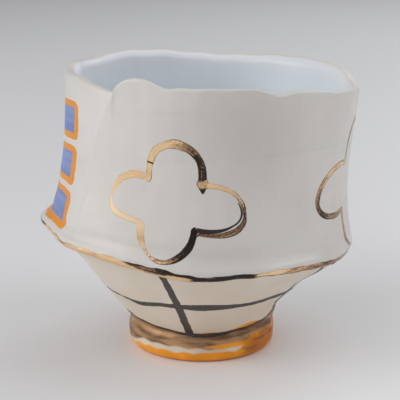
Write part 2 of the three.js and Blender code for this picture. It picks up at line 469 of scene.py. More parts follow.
# Pointed end of the front outline's first stroke, past its notch, and where along it the gold darkens
LEAF_TIP = ((8.9, 7.0), (9.3, 3.5))
LEAF_TIP_WIDTH = 1.9
LEAF_TIP_DARK = (0.3, 1.0)
LEAF_TIP_DARKENS = (0.3, 0.6)
# Filled corner where the front outline's second and third strokes meet
LEAF_CORNER = (7.5, -7.0)
LEAF_CORNER_RADIUS = 0.9
# Height where a dark line crosses the front outline's first stroke
LEAF_MARK_AT = 11.4

# Border of framed tiles on the left, in rows of two: direction of its middle and height of each row
TILE_MIDDLE = -96.9
TILE_ROWS = [79.4, 63.8, 48.4]
# How far a tile's middle is from the border's, half its width and height, its corners and its wavering
TILE_COLUMN = 16.6
TILE_HALF = (14.8, 6.7)
TILE_CORNER = 2.2
TILE_WOBBLE = 0.45
# Width of a tile's frame, and how much less its upright sides count
TILE_FRAME = 2.2
TILE_SQUEEZE = 0.72

# Gold line along the ridge: direction, top, where its two tones meet, bottom, and how dark each tone is;
# the dark
# # tones are partly the lustre's own and partly painted reflection of dark surroundings
RIDGE_GOLD = [
    (-180, 0.9, -0.4, -1.1, 0.2, 0.3),
    (-112, 0.9, -0.4, -1.0, 0.2, 0.3),
    (-98, 0.7, -0.2, -0.4, 0.95, 0.95),
    (-79, 0.6, -0.2, -0.4, 0.9, 0.9),
    (-75, 1.0, -0.2, -0.7, 0.1, 0.15),
    (-61, 1.0, -0.2, -1.0, 0.1, 0.15),
    (-57, 0.7, -0.2, -1.3, 0.5, 0.2),
    (-53, 0.7, -0.2, -1.5, 0.2, 0.2),
    (-46, 0.9, -0.3, -1.5, -0.1, 0.2),
    (-39, 0.8, -0.3, -1.5, 0.2, 0.2),
    (-33, 1.0, -0.2, -1.7, 0.0, 0.2),
    (-27, 0.9, 0.4, -1.8, 0.1, 0.1),
    (-25.5, 0.8, 0.1, -1.8, 0.75, 0.1),
    (-22, 0.9, -0.5, -1.9, 0.8, 0.05),
    (-19, 1.0, -0.9, -2.0, 0.7, 0.05),
    (-16, 1.1, -1.1, -2.3, 0.75, 0.0),
    (-12, 1.1, -0.7, -2.4, 0.85, 0.0),
    (-9, 1.1, -0.1, -2.3, 1.0, 0.0),
    (-4, 1.0, 0.0, -1.9, 1.0, 0.05),
    (-1, 0.5, -1.0, -1.4, 1.0, 0.8),
    (8, 0.6, -1.0, -1.2, 1.0, 0.7),
    (19, 0.7, -0.4, -0.6, 0.95, 0.4),
    (20.5, 0.9, -0.2, -0.5, 0.1, 0.5),
    (27, 1.1, -0.1, -0.6, -0.1, 0.4),
    (33, 1.0, 0.1, -0.8, 0.2, 0.5),
    (36, 0.8, 0.1, -1.0, 0.5, 0.4),
    (41, 0.8, -0.1, -1.6, 0.35, 0.6),
    (48, 0.5, -0.1, -1.6, 0.5, 0.6),
    (52, 0.4, -0.4, -1.3, 0.8, 0.6),
    (58, 0.6, -0.2, -0.8, 0.5, 0.55),
    (66, 0.4, -0.2, -0.9, 0.4, 0.5),
    (72, 0.2, -0.2, -0.6, 0.4, 0.4),
    (80, -0.7, -0.7, -0.7, 0.4, 0.4),
    (96, -0.6, -0.6, -0.6, 0.3, 0.3),
    (104, 0.8, -0.3, -1.0, 0.2, 0.3),
    (180, 0.9, -0.4, -1.1, 0.2, 0.3),
]
RIDGE_GOLD_RAGGED = 0.18
RIDGE_GOLD_BLEND = 0.3
# Where its streaks start, far from those of the outlines so that they differ
RIDGE_GOLD_START = -1000.0

# Black line round the cone: height, slope and humps, half width and swells
BAND_HEIGHT = 23.5
BAND_SLOPE = 2.2
BAND_HUMPS = [(-1.8, -36, 13), (0.95, -2, 13)]
BAND_HALF = 1.15
BAND_SWELLS = [(0.85, 3, 11), (-0.6, -52, 14)]
# Lines down the cone, as heights and directions, and their half width
RIBS = [
    [(10, -9.8), (20, -10.3), (30, -12.0), (39, -14.4)],
    [(12, 68), (15, 70), (17, 65.5), (19, 58), (21, 51), (24, 53), (39, 58)],
    [(10, 112), (39, 116)],
    [(10, 171), (39, 167)],
    [(10, -129), (39, -125)],
    [(10, -86), (39, -90)],
]
RIB_HALF = 1.35
# Black line round the joint of cone and foot
JOINT_LINE_HEIGHT = 9.5
JOINT_LINE_RISE = 3.6
JOINT_LINE_CURVE = 1.3
JOINT_LINE_HALF = 0.65
JOINT_LINE_SWELL = (0.3, 22, 25)
JOINT_LINE_HUMP = (3.4, 84, 24)

# Bands on the foot, with the bronze giving way to orange on the right
BRONZE_LOW = 5.4
BRONZE_SAG = (-3.6, -86, 27)
BRONZE_THIN = (0.3, 75, 30)
ORANGE_TOP = 3.5
ORANGE_SAG = (-1.6, -85, 28)
ORANGE_RISE = 4.8
ORANGE_RISE_FROM = (26, 46)
ORANGE_RISE_TO = (105, 125)
FOOT_RAGGED = 0.35
# Orange dash above the white gap: height, half width, directions of start, full width and end, and taper
ORANGE_DASH_HEIGHT = 5.7
ORANGE_DASH_HALF = 0.8
ORANGE_DASH_SPAN = (3, 17, 38)
ORANGE_DASH_TAPER = 4
# Orange that shows above the joint line, and how far under the line's upper edge it starts
ORANGE_SMEARS = [(1.2, 3, 9), (2.8, 36, 10)]
ORANGE_SMEAR_OVERLAP = 0.3

# Painted shade on the upper wall, right of the front: a hump round the cup, its height and its reach up and
# down
PAINTED_SHADE = (1, 14, 17)
PAINTED_SHADE_HEIGHT = 82
PAINTED_SHADE_REACH = 16

# Value of a field where nothing of it is near
FAR = -99.0


def run_length(points):
    """Length along a run of points, up to each."""
    return np.append(0, np.cumsum(np.hypot(*np.diff(points, axis=0).T)))


class Surface:
    """Every point of the mesh by its direction and its length along the section, with the main places."""

    def __init__(self, rows, angle):
        self.rows = rows
        self.angle = angle
        self.length = run_length(rows)
        self.crest, self.lip = (int(np.argmax(column)) for column in rows.T)
        self.tread = int(np.flatnonzero(rows[:self.lip, 1] <= 0)[-1])
        self.radius = rows[:, :1]
        self.heights = np.broadcast_to(rows[:, 1:], angle.shape)
        self.along = np.broadcast_to(self.length[:, None], angle.shape)
        self.from_crest = self.along - self.length[self.crest]
        self.outside = np.broadcast_to((np.arange(len(rows)) <= self.lip)[:, None], angle.shape)

    def length_at(self, level):
        """Length along the section where its outside reaches a height."""
        part = slice(self.tread, self.lip)
        return np.interp(level, self.rows[part, 1], self.length[part])


def outline_points(lobes):
    """Points along a whole outline. A lobe's path is its notch and two handles, clockwise to the next."""
    t = np.arange(LOBE_STEPS)[:, None] / LOBE_STEPS
    runs = []
    for lobe, after in zip(lobes, lobes[1:] + lobes[:1]):
        a, b, c, d = (np.array(corner) for corner in (*lobe["path"], after["path"][0]))
        runs.append(a * (1 - t) ** 3 + 3 * b * t * (1 - t) ** 2 + 3 * c * t * t * (1 - t) + d * t ** 3)
    return np.concatenate(runs)


def from_outline(across, up, outline):
    """Distance outside a closed outline, negative inside it, and where along it the nearest point is."""
    nearest = np.full(across.shape, np.inf)
    where = np.zeros(across.shape)
    inside = np.zeros(across.shape, bool)
    for index, start in enumerate(outline):
        step = outline[(index + 1) % len(outline)] - start
        right, above = across - start[0], up - start[1]
        t = np.clip((right * step[0] + above * step[1]) / (step @ step), 0, 1)
        distance = np.hypot(right - t * step[0], above - t * step[1])
        where = np.where(distance < nearest, index + t, where)
        nearest = np.minimum(nearest, distance)
        crossed = (above < 0) != (above < step[1])
        inside ^= crossed & ((right * step[1] < above * step[0]) == (step[1] > 0))
    return np.where(inside, -nearest, nearest), where


def at_quarters(where, lists):
    """Value between those that each lobe's list gives at its quarters."""
    lobe = np.minimum(where.astype(int), len(lists) - 1)
    quarters = np.linspace(0, 1, len(lists[0]))
    values = [np.interp(where - index, quarters, one) for index, one in enumerate(lists)]
    return np.choose(lobe, values)


def from_middle(angle, height, leaf):
    """How far right of and above an outline's middle, a direction and a height, each point is."""
    direction, level = leaf["middle"]
    return turn_from(angle, direction) * MM_PER_DEGREE, height - level


def leaf_fields(angle, height, leaf):
    """Fields of one gold outline.

    Low and high are the brush's edges either side of the outline, positive outwards. Dark is how dark the
    gold is coloured, partly the lustre's own brown and black and partly a painted reflection of dark
    surroundings; under 0 the gold is pale, a painted highlight where the lamps would show in it.
    """
    lobes = leaf["lobes"]
    outline = outline_points(lobes)
    outside, step = from_outline(*from_middle(angle, height, leaf), outline)
    length = run_length(np.append(outline, outline[:1], axis=0))
    where = step / LOBE_STEPS
    low, high, dark = (
        at_quarters(where, [lobe[name] for lobe in lobes]) for name in ("low", "high", "dark")
    )
    nowhere = np.full(outside.shape, FAR)
    return {
        "gold": np.minimum(outside - low, high - outside),
        "dark": dark,
        "along": np.interp(step, np.arange(len(length)), length),
        "across": outside,
        "where": where,
        "mark": nowhere,
        "line_in": nowhere,
        "line_out": nowhere,
    }


def front_leaf(angle, height, leaf):
    """Fields of the gold outline on the front, with its pointed end, dark corner, mark and thin line."""
    fields = leaf_fields(angle, height, leaf)
    right, above = from_middle(angle, height, leaf)

    start, end = np.array(LEAF_TIP)
    tip = end - start
    past_x, past_y = right - start[0], above - start[1]
    held = np.clip((past_x * tip[0] + past_y * tip[1]) / (tip @ tip), 0, 1)
    inside_tip = LEAF_TIP_WIDTH * (1 - held) - np.hypot(past_x - held * tip[0], past_y - held * tip[1])
    on_tip = (inside_tip > fields["gold"]) | ((inside_tip > 0) & (past_y < 0))
    tip_dark = lerp(*LEAF_TIP_DARK, smoothstep(held, *LEAF_TIP_DARKENS))
    fields["dark"] = np.where(on_tip, tip_dark, fields["dark"])
    fields["gold"] = np.maximum(fields["gold"], inside_tip)

    inside_corner = LEAF_CORNER_RADIUS - np.hypot(right - LEAF_CORNER[0], above - LEAF_CORNER[1])
    fields["dark"] = np.where(inside_corner > 0, 1.0, fields["dark"])
    fields["gold"] = np.maximum(fields["gold"], inside_corner)
    fields["mark"] = above - LEAF_MARK_AT

    part = fields["where"] - LEAF_LINE_LOBE
    quarters = np.linspace(0, 1, len(LEAF_LINE_LOW))
    on_line = (part > LEAF_LINE_START) & (part < 1)
    inner = fields["across"] - np.interp(part, quarters, LEAF_LINE_LOW)
    outer = np.interp(part, quarters, LEAF_LINE_HIGH) - fields["across"]
    fields["line_in"] = np.where(on_line, inner, FAR)
    fields["line_out"] = np.where(on_line, outer, FAR)
    return fields


def tile_field(angle, height):
    """How far inside the border's tiles each point is, with their upright sides counted less."""
    across = np.abs(turn_from(angle, TILE_MIDDLE)) * MM_PER_DEGREE
    beside = np.abs(across - TILE_COLUMN)
    level = height + TILE_WOBBLE * ripples(angle, turns=(5, 20), seed=25)
    above = np.min([np.abs(level - row) for row in TILE_ROWS], axis=0)
    half_width, half_height = TILE_HALF
    past_side = (beside - half_width) * TILE_SQUEEZE + TILE_CORNER
    past_top = above - half_height + TILE_CORNER
    round_corner = np.hypot(np.maximum(past_side, 0), np.maximum(past_top, 0))
    return TILE_CORNER - round_corner - np.minimum(np.maximum(past_side, past_top), 0)


def wall_paint(surface):
    """Fields of the gold outlines and the tiles on the wall."""
    wall = slice(surface.crest, surface.lip + 1)
    angle, heights = surface.angle[wall], surface.heights[wall]
    leaves = [front_leaf(angle, heights, LEAVES[0])]
    leaves += [leaf_fields(angle, heights, leaf) for leaf in LEAVES[1:]]
    turns = [np.abs(turn_from(angle, leaf["middle"][0])) for leaf in LEAVES]
    nearest = np.argmin(turns, axis=0)
    elsewhere = dict.fromkeys(("gold", "mark", "line_in", "line_out"), FAR)
    elsewhere |= dict.fromkeys(("dark", "along", "across"), 0.0)
    fields = {}
    for name, value in elsewhere.items():
        fields[name] = np.full(surface.angle.shape, value)
        fields[name][wall] = np.choose(nearest, [leaf[name] for leaf in leaves])
    fields["frame"] = np.full(surface.angle.shape, FAR)
    fields["frame"][wall] = tile_field(angle, heights)
    return fields


def ridge_gold(surface):
    """Fields of the gold line along the shoulder ridge."""
    angle, from_crest = surface.angle, surface.from_crest
    at, *rows = np.array(RIDGE_GOLD).T
    top, meeting, bottom, dark_up, dark_down = (np.interp(angle, at, row) for row in rows)
    top = top + RIDGE_GOLD_RAGGED * ripples(angle, turns=(9, 44), seed=21)
    bottom = bottom + RIDGE_GOLD_RAGGED * ripples(angle, turns=(9, 44), seed=22)
    # Upper and lower faces of the line get their own darkness, partly painted reflection
    upper = smoothstep(from_crest - meeting, -RIDGE_GOLD_BLEND, RIDGE_GOLD_BLEND)
    return {
        "gold": np.minimum(top - from_crest, from_crest - bottom),
        "dark": lerp(dark_down, dark_up, upper),
        "along": angle * MM_PER_DEGREE + RIDGE_GOLD_START,
        "across": from_crest,
    }


def cone_lines(surface, joint_at):
    """How far inside the black lines on the cone each point is."""
    angle, along = surface.angle, surface.along
    band_level = BAND_HEIGHT + BAND_SLOPE * np.sin(np.radians(angle)) + humps(angle, BAND_HUMPS)
    band = BAND_HALF + humps(angle, BAND_SWELLS) - np.abs(along - surface.length_at(band_level))
    joint = JOINT_LINE_HALF + hump(angle, JOINT_LINE_SWELL) - np.abs(along - joint_at)
    ribs = np.full(angle.shape, FAR)
    for path in RIBS:
        at = np.interp(surface.heights, *np.array(path).T)
        beside = np.radians(turn_from(angle, at)) * surface.radius
        ribs = np.maximum(ribs, RIB_HALF - np.abs(beside))
    ribs = np.minimum(ribs, np.minimum(along - joint_at, -surface.from_crest))
    return np.maximum(band, np.maximum(joint, ribs))


def foot_bands(surface, joint_at):
    """How far inside the bronze and the orange each point is, and where the orange has risen."""
    angle, along = surface.angle, surface.along
    ragged = FOOT_RAGGED * ripples(angle, turns=(4, 26), seed=23)
    bronze_at = surface.length_at(BRONZE_LOW + hump(angle, BRONZE_SAG) + ragged)
    bronze = np.minimum(along - bronze_at, joint_at - along) - hump(angle, BRONZE_THIN)

    risen = smoothstep(angle, *ORANGE_RISE_FROM) * (1 - smoothstep(angle, *ORANGE_RISE_TO))
    ragged = FOOT_RAGGED * ripples(angle, turns=(6, 34), seed=24)
    orange_level = ORANGE_TOP + hump(angle, ORANGE_SAG) + ORANGE_RISE * risen + ragged
    start, full, end = ORANGE_DASH_SPAN
    dash = ORANGE_DASH_HALF * smoothstep(angle, start, full)
    dash = dash - np.abs(along - surface.length_at(ORANGE_DASH_HEIGHT))
    dash = np.minimum(dash, np.minimum(angle - start, end - angle) / ORANGE_DASH_TAPER)
    smear_top = joint_at + JOINT_LINE_HALF + humps(angle, ORANGE_SMEARS) - ORANGE_SMEAR_OVERLAP
    smear = np.minimum(smear_top - along, along - joint_at)
    orange = np.maximum(surface.length_at(orange_level) - along, np.maximum(dash, smear))
    return bronze, orange, risen


def paint_fields(rows, angle):
    """Distances in millimetres inside each painted shape, and a few shares, for every point of the mesh."""
    surface = Surface(rows, angle)
    outside, along = surface.outside, surface.along
    fields = wall_paint(surface)
    ridge = ridge_gold(surface)
    on_ridge = outside & (ridge["gold"] > fields["gold"])
    for name, values in ridge.items():
        fields[name] = np.where(on_ridge, values, fields[name])

    joint_rise = JOINT_LINE_RISE * np.abs(np.sin(np.radians(angle))) ** JOINT_LINE_CURVE
    joint_rise = joint_rise + hump(angle, JOINT_LINE_HUMP)
    joint_at = surface.length_at(JOINT_LINE_HEIGHT + joint_rise)
    bronze, orange, risen = foot_bands(surface, joint_at)
    fields["black"] = np.where(outside, cone_lines(surface, joint_at), FAR)
    fields["bronze"] = bronze
    fields["orange"] = np.where(outside, orange, FAR)
    fields["risen"] = np.where(outside, risen, 0.0)
    fields["foot"] = np.where(outside, joint_at - along, FAR)
    fields["cone"] = np.where(outside, -surface.from_crest, FAR)
    fields["bare"] = surface.length[surface.tread] - along
    fields["inside"] = along - surface.length[surface.lip]
    # Share of the painted shade on the upper wall
    fields["painted_shade"] = bell(surface.heights - PAINTED_SHADE_HEIGHT, PAINTED_SHADE_REACH) * hump(angle, PAINTED_SHADE)
    return fields


def faces(row_count):
    """Faces between the rows, with fans round the middles of the recess and of the floor."""
    index = np.arange(row_count * COLUMNS).reshape(row_count, COLUMNS)
    after = np.roll(index, -1, axis=1)
    quads = np.stack([index[:-1], after[:-1], after[1:], index[1:]], -1).reshape(-1, 4)
    under_fan = np.stack([np.full(COLUMNS, index.size), after[0], index[0]], -1)
    floor_fan = np.stack([np.full(COLUMNS, index.size + 1), index[-1], after[-1]], -1)
    return quads.tolist() + under_fan.tolist() + floor_fan.tolist()


def bake_map(rows):
    """Flat map of the faces: across it once round the cup, and up it along the section."""
    length = run_length(rows)
    up = (rows[0, 0] + length) / (rows[0, 0] + length[-1] + rows[-1, 0])
    around = np.arange(COLUMNS + 1) / COLUMNS
    left, right = around[:-1], around[1:]
    shape = (len(rows) - 1, COLUMNS)
    lefts, rights = (np.broadcast_to(side, shape) for side in (left, right))
    lows, highs = (np.broadcast_to(level[:, None], shape) for level in (up[:-1], up[1:]))
    quads = np.stack([lefts, lows, rights, lows, rights, highs, lefts, highs], -1)
    middle = (left + right) / 2
    bottom, under, floor, top = (np.full(COLUMNS, level) for level in (0.0, up[0], up[-1], 1.0))
    under_fan = np.stack([middle, bottom, right, under, left, under], -1)
    floor_fan = np.stack([middle, top, left, floor, right, floor], -1)
    return np.concatenate([part.ravel() for part in (quads, under_fan, floor_fan)])


def make_cup():
    """The whole cup as one closed mesh, with its paint fields."""
    rows = section()
    turns = 2 * math.pi * np.arange(COLUMNS) / COLUMNS - math.pi
    past = np.degrees(turns - SEAM_GATHER * np.sin(turns))
    angle = turn_from(seam_angle(rise_at(rows[:, 1:])) + past, 0)
    points = place(rows[:, :1], rows[:, 1:], angle)
    middles = [points[0].mean(axis=0), points[-1].mean(axis=0)]
    verts = np.concatenate([points.reshape(-1, 3), middles]) * MM

    mesh = bpy.data.meshes.new("cup_body")
    mesh.from_pydata(verts.tolist(), [], faces(len(rows)))
    mesh.shade_smooth()
    for name, values in paint_fields(rows, angle).items():
        layer = mesh.attributes.new(name, "FLOAT", "POINT")
        middles = [values[0].mean(), values[-1].mean()]
        layer.data.foreach_set("value", np.append(values.ravel(), middles).astype(np.float32))
    layer = mesh.uv_layers.new(name="OFBake")
    layer.data.foreach_set("uv", bake_map(rows).astype(np.float32))

    cup = bpy.data.objects.new("cup_body", mesh)
    bpy.context.collection.objects.link(cup)
    return cup


# Colours, linear
GLAZE = (0.735, 0.707, 0.67)
GLAZE_SHADE = (0.69, 0.66, 0.623)
# Darker glaze colour that paints shade on the upper wall
GLAZE_PAINTED_SHADE = (0.632, 0.605, 0.572)
GLAZE_LINES = (0.52, 0.51, 0.50)
# Glaze on the rim's inner bevel, lighter partly as a painted highlight where the bevel catches light
RIM_GLAZE_AND_HIGHLIGHT = (0.785, 0.80, 0.83)
INSIDE_GLAZE = (0.755, 0.795, 0.84)
CONE_CLAY = (0.83, 0.74, 0.625)
CONE_CLAY_DEEP = (0.775, 0.67, 0.545)
BARE_CLAY = (0.72, 0.67, 0.60)
GOLD = (0.92, 0.635, 0.355)
GOLD_PALE = (0.95, 0.70, 0.44)
GOLD_DEEP = (0.76, 0.48, 0.25)
GOLD_BROWN = (0.33, 0.19, 0.10)
GOLD_DARK = (0.03, 0.02, 0.015)
BLACK = (0.048, 0.036, 0.032)
BLACK_THIN = (0.075, 0.06, 0.056)
BRONZE = (0.51, 0.30, 0.15)
BRONZE_DARK = (0.18, 0.098, 0.05)
FOOT_SMEAR = (0.66, 0.50, 0.33)
ORANGE = (0.98, 0.38, 0.025)
ORANGE_DARK = (0.48, 0.135, 0.004)
FRAME_ORANGE = (0.85, 0.33, 0.035)
FRAME_ORANGE_DEEP = (0.78, 0.30, 0.04)
BLUE = (0.17, 0.24, 0.52)
BLUE_THIN = (0.24, 0.31, 0.58)
FLOOR_COLOUR = (0.832, 0.828, 0.846)

# Scales of the noises, to the metre. The level lines and the wiped foot are stretched round the cup.
BROAD_SCALE = 38
BLOTCH_SCALE = 130
WOBBLE_SCALE = 330
PIT_SCALE = 620
SPECK_SCALE = 1500
GRAIN_SCALE = 1700
LEVEL_LINES_SCALE = (14, 14, 330)
WIPED_SCALE = (55, 55, 300)
# Scales of the gold's streaks along and across the brush, to the millimetre
STREAKS_ALONG = 0.16
STREAKS_ACROSS = 2.4

# Millimetres over which a painted edge fades
EDGE_SOFTNESS = 0.12
BRONZE_SOFTNESS = 0.6
ORANGE_SOFTNESS = 0.45

# Roughness, least and most where it varies, then metal, specular level and pits
GLAZE_ROUGH = (0.30, 0.42)
GOLD_ROUGH = (0.24, 0.32)
BARE_ROUGH = 0.85
BLACK_ROUGH = 0.48
BRONZE_ROUGH = 0.36
FLOOR_ROUGH = 0.45
GOLD_METAL = 0.6
GOLD_PALE_METAL = 0.12
BRONZE_METAL = 0.35
GLAZE_SPECULAR = 0.5
MATT_SPECULAR = 0.25
GLAZE_PITS = 0.12
GOLD_PITS = 0.02
PIT_DEPTH = 0.0004


class Nodes:
    """Short calls that build one node tree."""

    def __init__(self, tree):
        self.tree = tree
        self.tree.nodes.clear()

    def add(self, kind, inputs, **settings):
        """A node with its settings, its values and its links."""
        made = self.tree.nodes.new(kind)
        for name, value in settings.items():
            setattr(made, name, value)
        for name, value in inputs.items():
            socket = made.inputs[name]
            if isinstance(value, bpy.types.NodeSocket):
                self.tree.links.new(value, socket)
            elif socket.type == "RGBA":
                socket.default_value = (*value, 1)
            else:
                socket.default_value = value
        return made

    def read(self, name):
        """A field of the mesh."""
        return self.add("ShaderNodeAttribute", {}, attribute_name=name).outputs["Fac"]

    def calculate(self, operation, *values):
        """One calculation."""
        return self.add("ShaderNodeMath", dict(enumerate(values)), operation=operation).outputs[0]

    def plus(self, a, b):
        """Two values added."""
        return self.calculate("ADD", a, b)

    def less(self, a, b):
        """The first value without the second."""
        return self.calculate("SUBTRACT", a, b)

    def times(self, a, b):
        """Two values multiplied."""
        return self.calculate("MULTIPLY", a, b)

    def larger(self, a, b):
        """The larger of two values."""
        return self.calculate("MAXIMUM", a, b)

    def soft(self, value, low, high):
        """Soft step from 0 at low to 1 at high."""
        inputs = {"Value": value, "From Min": low, "From Max": high}
        return self.add("ShaderNodeMapRange", inputs, interpolation_type="SMOOTHSTEP").outputs[0]

    def mix(self, amount, a, b):
        """Colour between two."""
        return self.add("ShaderNodeMix", {0: amount, 6: a, 7: b}, data_type="RGBA").outputs[2]

    def between(self, amount, a, b):
        """Number between two."""
        return self.add("ShaderNodeMix", {0: amount, 2: a, 3: b}, data_type="FLOAT").outputs[0]

    def noise(self, vector, scale, detail=2.0):
        """Soft noise, mostly between 0.3 and 0.7."""
        inputs = {"Vector": vector, "Scale": scale, "Detail": detail}
        return self.add("ShaderNodeTexNoise", inputs).outputs[0]

    def off_centre(self, value, size):
        """Noise moved to either side of zero."""
        return self.times(self.less(value, 0.5), size)


class Finish(Nodes):
    """Nodes of the cup's finish, with what its paints share."""

    def __init__(self, tree):
        super().__init__(tree)
        self.spot = self.add("ShaderNodeTexCoord", {}).outputs["Object"]
        self.broad = self.noise(self.spot, BROAD_SCALE)
        self.grain = self.noise(self.spot, GRAIN_SCALE)
        self.level_lines = self.noise(self.stretched(LEVEL_LINES_SCALE), 1.0, 3.0)
        self.wiped_spot = self.stretched(WIPED_SCALE)
        wobble = self.noise(self.spot, WOBBLE_SCALE, 1.0)
        wiped = self.noise(self.wiped_spot, 1.0, 3.0)
        self.edge = self.plus(self.off_centre(wobble, 0.7), self.off_centre(self.grain, 0.35))
        self.fine_edge = self.plus(self.off_centre(wobble, 0.4), self.off_centre(self.grain, 0.06))
        self.wiped_edge = self.plus(self.off_centre(wiped, 2.2), self.off_centre(self.grain, 0.3))
        self.bare = self.soft(self.read("bare"), -0.4, 0.2)

    def stretched(self, scale):
        """Places with another scale along each axis."""
        return self.add("ShaderNodeMapping", {"Vector": self.spot, "Scale": scale}).outputs[0]

    def painted(self, name, ragged, softness=EDGE_SOFTNESS):
        """1 inside a painted shape and 0 outside, with a ragged edge."""
        return self.soft(self.plus(self.read(name), ragged), -softness, softness)


def clay_colour(nodes):
    """Glaze outside and inside, the cone's warm clay and the bare tread."""
    clouds = nodes.soft(nodes.broad, 0.35, 0.68)
    lines = nodes.times(nodes.soft(nodes.level_lines, 0.56, 0.72), 0.16)
    colour = nodes.mix(clouds, GLAZE, GLAZE_SHADE)
    # Painted shade: a darker patch of glaze colour on the upper wall
    colour = nodes.mix(nodes.read("painted_shade"), colour, GLAZE_PAINTED_SHADE)
    colour = nodes.mix(lines, colour, GLAZE_LINES)
    # Lighter band just inside the rim: glaze and partly a painted highlight
    colour = nodes.mix(nodes.soft(nodes.read("inside"), 1.0, 2.6), colour, RIM_GLAZE_AND_HIGHLIGHT)
    colour = nodes.mix(nodes.soft(nodes.read("inside"), 4.0, 9.0), colour, INSIDE_GLAZE)
    cone = nodes.soft(nodes.read("cone"), 0.5, 1.5)
    colour = nodes.mix(cone, colour, nodes.mix(clouds, CONE_CLAY, CONE_CLAY_DEEP))
    return nodes.mix(nodes.bare, colour, BARE_CLAY)


def bronze_paint(nodes, colour):
    """The colour with bronze wiped round the foot, painted shade under the joint line, and where the bronze
    is.
    """
    smears = nodes.soft(nodes.noise(nodes.wiped_spot, 2.3), 0.5, 0.75)
    smeared = nodes.times(nodes.soft(nodes.read("foot"), -0.3, 0.3), nodes.between(smears, 0.35, 1.0))
    colour = nodes.mix(nodes.times(smeared, nodes.less(0.8, nodes.bare)), colour, FOOT_SMEAR)
    clouds = nodes.plus(nodes.noise(nodes.wiped_spot, 1.6, 3.0), nodes.off_centre(nodes.broad, 0.5))
    # Painted shade on the bronze just under the joint line, with the bronze's own darker clouds
    painted_shade_under_joint = nodes.times(nodes.soft(nodes.read("foot"), 3.0, 0.6), 0.7)
    dark = nodes.larger(nodes.soft(clouds, 0.36, 0.68), painted_shade_under_joint)
    bronze = nodes.painted("bronze", nodes.wiped_edge, BRONZE_SOFTNESS)
    return nodes.mix(bronze, colour, nodes.mix(dark, BRONZE, BRONZE_DARK)), bronze


def orange_paint(nodes, colour):
    """The colour with orange on the foot, blotched where it has risen, and where the orange is."""
    orange = nodes.painted("orange", nodes.wiped_edge, ORANGE_SOFTNESS)
    orange = nodes.times(orange, nodes.less(1.0, nodes.bare))
    risen = nodes.times(nodes.read("risen"), nodes.soft(nodes.read("bare"), -1.0, -4.0))
    blotches = nodes.soft(nodes.noise(nodes.spot, BLOTCH_SCALE, 3.0), 0.36, 0.56)
    blotches = nodes.times(blotches, nodes.between(risen, 0.2, 0.9))
    streaks = nodes.times(nodes.soft(nodes.noise(nodes.wiped_spot, 1.9), 0.5, 0.64), risen)
    tone = nodes.mix(blotches, ORANGE, ORANGE_DARK)
    tone = nodes.mix(streaks, tone, BRONZE_DARK)
    return nodes.mix(orange, colour, tone), orange


def tile_paint(nodes, colour):
    """The colour with the border's tiles, and where they are."""
    tiles = nodes.painted("frame", nodes.edge)
    inside_frame = nodes.plus(nodes.read("frame"), nodes.edge)
    blue = nodes.soft(inside_frame, TILE_FRAME - EDGE_SOFTNESS, TILE_FRAME + EDGE_SOFTNESS)
    frame_tone = nodes.mix(nodes.soft(nodes.broad, 0.4, 0.6), FRAME_ORANGE, FRAME_ORANGE_DEEP)
    blue_tone = nodes.mix(nodes.soft(nodes.level_lines, 0.4, 0.65), BLUE, BLUE_THIN)
    colour = nodes.mix(tiles, colour, frame_tone)
    return nodes.mix(blue, colour, blue_tone), tiles


def gold_paint(nodes, colour):
    """The colour with gold lustre, brown and black partly as painted reflection, where the gold is and
    where it is pale.
    """
    gold = nodes.painted("gold", nodes.fine_edge)
    dark = nodes.read("dark")
    stroke = nodes.add("ShaderNodeCombineXYZ", {
        "X": nodes.times(nodes.read("along"), STREAKS_ALONG),
        "Y": nodes.times(nodes.read("across"), STREAKS_ACROSS),
    }).outputs[0]
    streaks = nodes.noise(stroke, 1.0)
    specks = nodes.off_centre(nodes.noise(nodes.spot, SPECK_SCALE), 0.6)
    specks = nodes.plus(specks, nodes.off_centre(streaks, 1.1))
    mottled = nodes.times(specks, nodes.soft(dark, 0.02, 0.35))
    worn = nodes.times(nodes.soft(nodes.read("gold"), 0.34, 0.0), 0.42)
    crossed = nodes.soft(nodes.calculate("ABSOLUTE", nodes.read("mark")), 0.36, 0.2)
    # Brown and black of the gold: partly the lustre's own, partly painted reflection of dark surroundings
    tone = nodes.plus(nodes.plus(nodes.larger(dark, 0.0), mottled), worn)
    tone = nodes.larger(tone, crossed)
    deep = nodes.soft(nodes.plus(nodes.off_centre(nodes.broad, 1.0), streaks), 0.45, 0.8)
    # Pale gold with little metal: a painted highlight where the lamps would show in it
    pale_painted_highlight = nodes.soft(dark, 0.0, -0.1)
    lustre = nodes.mix(deep, GOLD, GOLD_DEEP)
    lustre = nodes.mix(pale_painted_highlight, lustre, GOLD_PALE)
    lustre = nodes.mix(nodes.soft(tone, 0.2, 0.55), lustre, GOLD_BROWN)
    lustre = nodes.mix(nodes.soft(tone, 0.6, 0.85), lustre, GOLD_DARK)
    line_in, line_out = (nodes.soft(nodes.read(name), -0.08, 0.1) for name in ("line_in", "line_out"))
    colour = nodes.mix(gold, colour, lustre)
    return nodes.mix(nodes.times(line_in, line_out), colour, GOLD_DARK), gold, pale_painted_highlight


